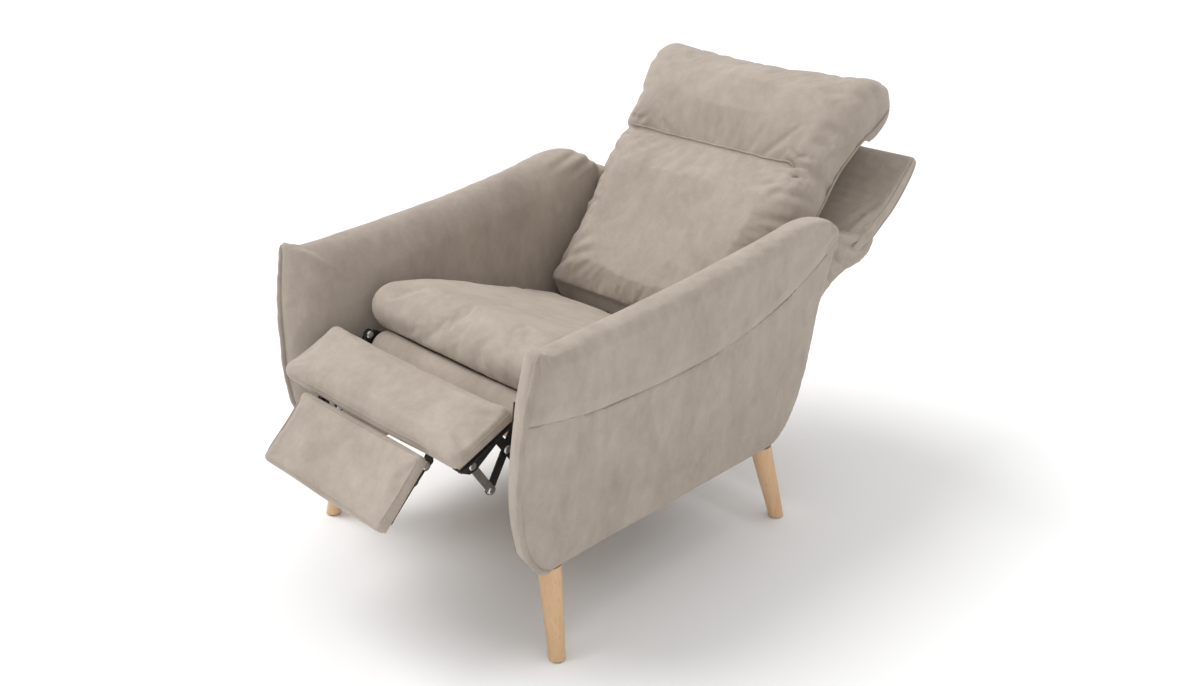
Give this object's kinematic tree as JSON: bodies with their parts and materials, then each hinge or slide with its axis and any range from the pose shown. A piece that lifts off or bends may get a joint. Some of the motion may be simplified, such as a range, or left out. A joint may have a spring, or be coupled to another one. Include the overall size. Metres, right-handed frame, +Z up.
{
  "type": "recliner armchair",
  "caption": "Upholstered recliner armchair with sloping padded arms, tapered round wooden legs and a steel linkage that folds out a footrest with a hinged flap.",
  "frame": {"origin": "on the floor, under the middle of the whole chair as stored, with the back down and the footrest out", "axes": "+Z up, -Y the way the sitter faces, +X to the sitter's left, across the chair"},
  "size_m": [0.7562, 1.3346, 0.8983],
  "materials": {
    "upholstery": "soft brushed microfibre",
    "leg_wood": "clear satin lacquer on light beech",
    "frame_wood": "planed, unfinished",
    "plywood": "sanded plywood",
    "black_steel": "satin black powder coat",
    "zinc_steel": "bright zinc plated",
    "webbing": "woven elastic strap",
    "glide": "matte"
  },
  "bodies": {
    "base": {"leg_front_left": "leg_wood", "leg_front_right": "leg_wood", "leg_rear_left": "leg_wood", "leg_rear_right": "leg_wood", "foot_glides": "glide", "leg_plates": "black_steel", "hanger_bolts": "zinc_steel", "side_board_left": "plywood", "side_board_right": "plywood", "arm_left": "upholstery", "arm_right": "upholstery", "side_panel_left": "upholstery", "side_panel_right": "upholstery", "front_cross_rail": "frame_wood", "rear_cross_rail": "frame_wood", "rear_top_rail": "frame_wood", "base_plate_left": "black_steel", "base_plate_right": "black_steel", "base_bolts": "zinc_steel", "tilt_bolts": "zinc_steel", "rear_panel": "upholstery"},
    "seat": {"seat_side_rails": "frame_wood", "seat_front_rail": "frame_wood", "seat_rear_rail": "frame_wood", "front_pad": "upholstery", "seat_webbing": "webbing", "seat_cushion": "upholstery", "seat_plate_left": "black_steel", "seat_plate_right": "black_steel", "plate_screws": "zinc_steel", "cross_tube": "black_steel", "lift_pins": "zinc_steel", "back_hinge_pins": "zinc_steel"},
    "back": {"back_stiles": "frame_wood", "back_top_rail": "frame_wood", "back_low_rail": "frame_wood", "back_webbing": "webbing", "back_cushion": "upholstery", "back_shell": "upholstery", "back_hanger_left": "black_steel", "back_hanger_right": "black_steel", "back_screws": "zinc_steel"},
    "lift_links": {"lift_link_left": "black_steel", "lift_link_right": "black_steel", "knee_pins": "zinc_steel"},
    "cross_links": {"cross_link_left": "black_steel", "cross_link_right": "black_steel", "guide_pins": "zinc_steel"},
    "control_links": {"control_link_left": "zinc_steel", "control_link_right": "zinc_steel"},
    "footrest": {"footrest_bracket_left": "black_steel", "footrest_bracket_right": "black_steel", "footrest_pins": "zinc_steel", "footrest_board": "plywood", "footrest_pad": "upholstery", "flap_brackets": "black_steel"},
    "flap": {"flap_arms": "black_steel", "flap_board": "plywood", "flap_pad": "upholstery"}
  },
  "joints": [
    {"name": "back_recline", "type": "hinge", "parent": "seat", "child": "back", "pos_m": [0, 0.185, 0.345], "axis": [1, 0, 0], "range_deg": [0, 16]},
    {"name": "seat_tilt", "type": "hinge", "parent": "base", "child": "seat", "pos_m": [0, -0.06, 0.205], "axis": [1, 0, 0], "range_deg": [0, 11]},
    {"name": "footrest_fold", "type": "hinge", "parent": "seat", "child": "lift_links", "pos_m": [0, -0.385, 0.453], "axis": [1, 0, 0], "range_deg": [0, 56]},
    {"name": "cross_pivot", "type": "hinge", "parent": "lift_links", "child": "cross_links", "pos_m": [0, -0.425, 0.386], "axis": [1, 0, 0], "range_deg": [0, 16]},
    {"name": "control_pivot", "type": "hinge", "parent": "lift_links", "child": "control_links", "pos_m": [0, -0.465, 0.32], "axis": [1, 0, 0], "range_deg": [0, 9.3]},
    {"name": "footrest_pivot", "type": "hinge", "parent": "cross_links", "child": "footrest", "pos_m": [0, -0.452, 0.425], "axis": [1, 0, 0], "range_deg": [-17.14, 0]},
    {"name": "flap_fold", "type": "hinge", "parent": "footrest", "child": "flap", "pos_m": [0, -0.5511, 0.37647], "axis": [1, 0, 0], "range_deg": [0, 156.1]}
  ],
  "couplings": [
    {"joint": "seat_tilt", "follows": "back_recline", "ratio": 0.6875},
    {"joint": "cross_pivot", "follows": "footrest_fold", "ratio": 0.28571},
    {"joint": "control_pivot", "follows": "footrest_fold", "ratio": 0.16605},
    {"joint": "footrest_pivot", "follows": "footrest_fold", "ratio": -0.30589},
    {"joint": "flap_fold", "follows": "footrest_fold", "ratio": 2.7857}
  ]
}
